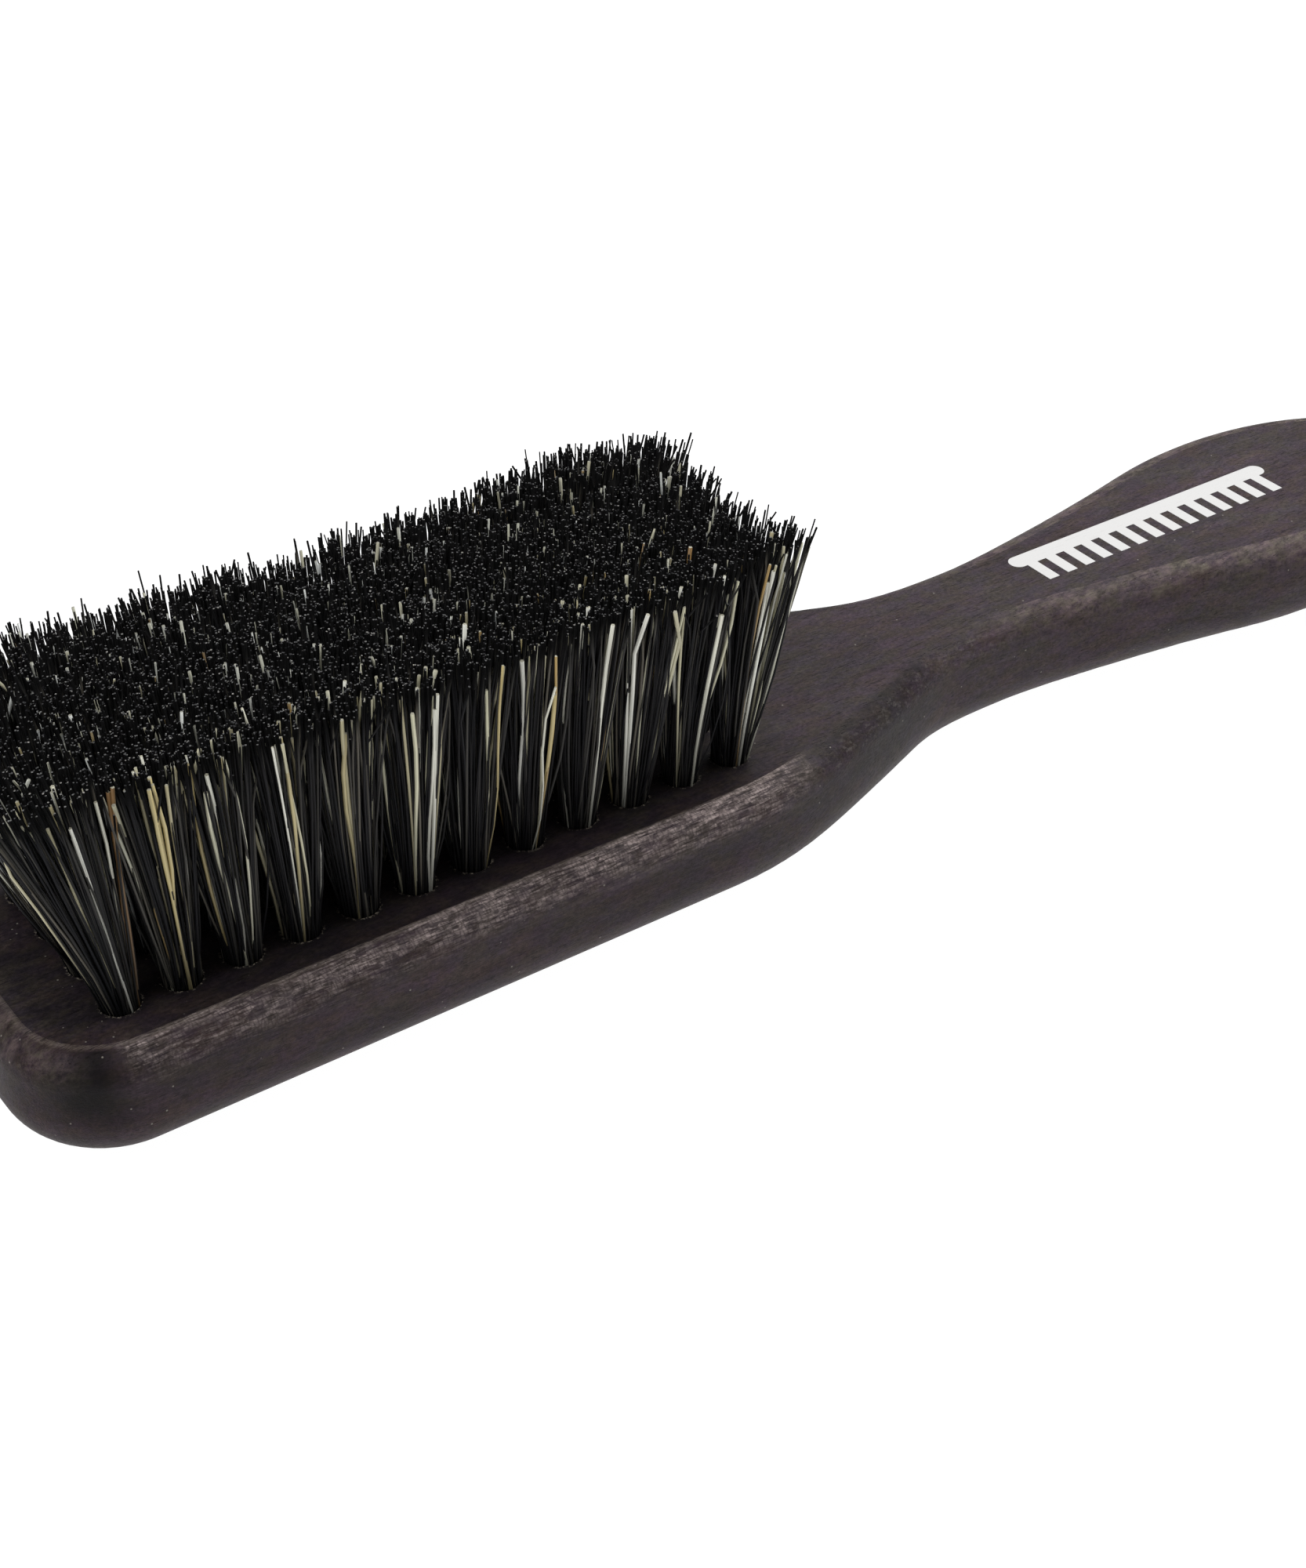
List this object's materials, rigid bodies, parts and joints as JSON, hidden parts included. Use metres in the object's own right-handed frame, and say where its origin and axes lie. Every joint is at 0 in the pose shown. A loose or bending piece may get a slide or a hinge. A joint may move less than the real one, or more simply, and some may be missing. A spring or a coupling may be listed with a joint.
{
  "type": "fade brush",
  "caption": "Barber's fade brush: paddle-handled stained wooden stock set with a rectangular block of dark boar-bristle tufts, lying on its back.",
  "frame": {"origin": "centre of the stock's plan rectangle, on the flat back that the brush lies on", "axes": "+X from the head to the handle, +Z out of the brush face along the bristles, +Y across the head"},
  "size_m": [0.2014, 0.0378, 0.0394],
  "materials": {
    "stained_wood": "satin",
    "boar_bristle": "satin",
    "anchor_wire": "satin",
    "white_ink": "matte"
  },
  "bodies": {
    "root": {"printed_mark": "white_ink", "tuft_anchors": "anchor_wire", "tuft_row1_col01": "boar_bristle", "tuft_row1_col02": "boar_bristle", "tuft_row1_col03": "boar_bristle", "tuft_row1_col04": "boar_bristle", "tuft_row1_col05": "boar_bristle", "tuft_row1_col06": "boar_bristle", "tuft_row1_col07": "boar_bristle", "tuft_row1_col08": "boar_bristle", "tuft_row1_col09": "boar_bristle", "tuft_row1_col10": "boar_bristle", "tuft_row1_col11": "boar_bristle", "tuft_row1_col12": "boar_bristle", "tuft_row2_col01": "boar_bristle", "tuft_row2_col02": "boar_bristle", "tuft_row2_col03": "boar_bristle", "tuft_row2_col04": "boar_bristle", "tuft_row2_col05": "boar_bristle", "tuft_row2_col06": "boar_bristle", "tuft_row2_col07": "boar_bristle", "tuft_row2_col08": "boar_bristle", "tuft_row2_col09": "boar_bristle", "tuft_row2_col10": "boar_bristle", "tuft_row2_col11": "boar_bristle", "tuft_row2_col12": "boar_bristle", "tuft_row3_col01": "boar_bristle", "tuft_row3_col02": "boar_bristle", "tuft_row3_col03": "boar_bristle", "tuft_row3_col04": "boar_bristle", "tuft_row3_col05": "boar_bristle", "tuft_row3_col06": "boar_bristle", "tuft_row3_col07": "boar_bristle", "tuft_row3_col08": "boar_bristle", "tuft_row3_col09": "boar_bristle", "tuft_row3_col10": "boar_bristle", "tuft_row3_col11": "boar_bristle", "tuft_row3_col12": "boar_bristle", "tuft_row4_col01": "boar_bristle", "tuft_row4_col02": "boar_bristle", "tuft_row4_col03": "boar_bristle", "tuft_row4_col04": "boar_bristle", "tuft_row4_col05": "boar_bristle", "tuft_row4_col06": "boar_bristle", "tuft_row4_col07": "boar_bristle", "tuft_row4_col08": "boar_bristle", "tuft_row4_col09": "boar_bristle", "tuft_row4_col10": "boar_bristle", "tuft_row4_col11": "boar_bristle", "tuft_row4_col12": "boar_bristle", "wooden_stock": "stained_wood"}
  },
  "joints": []
}
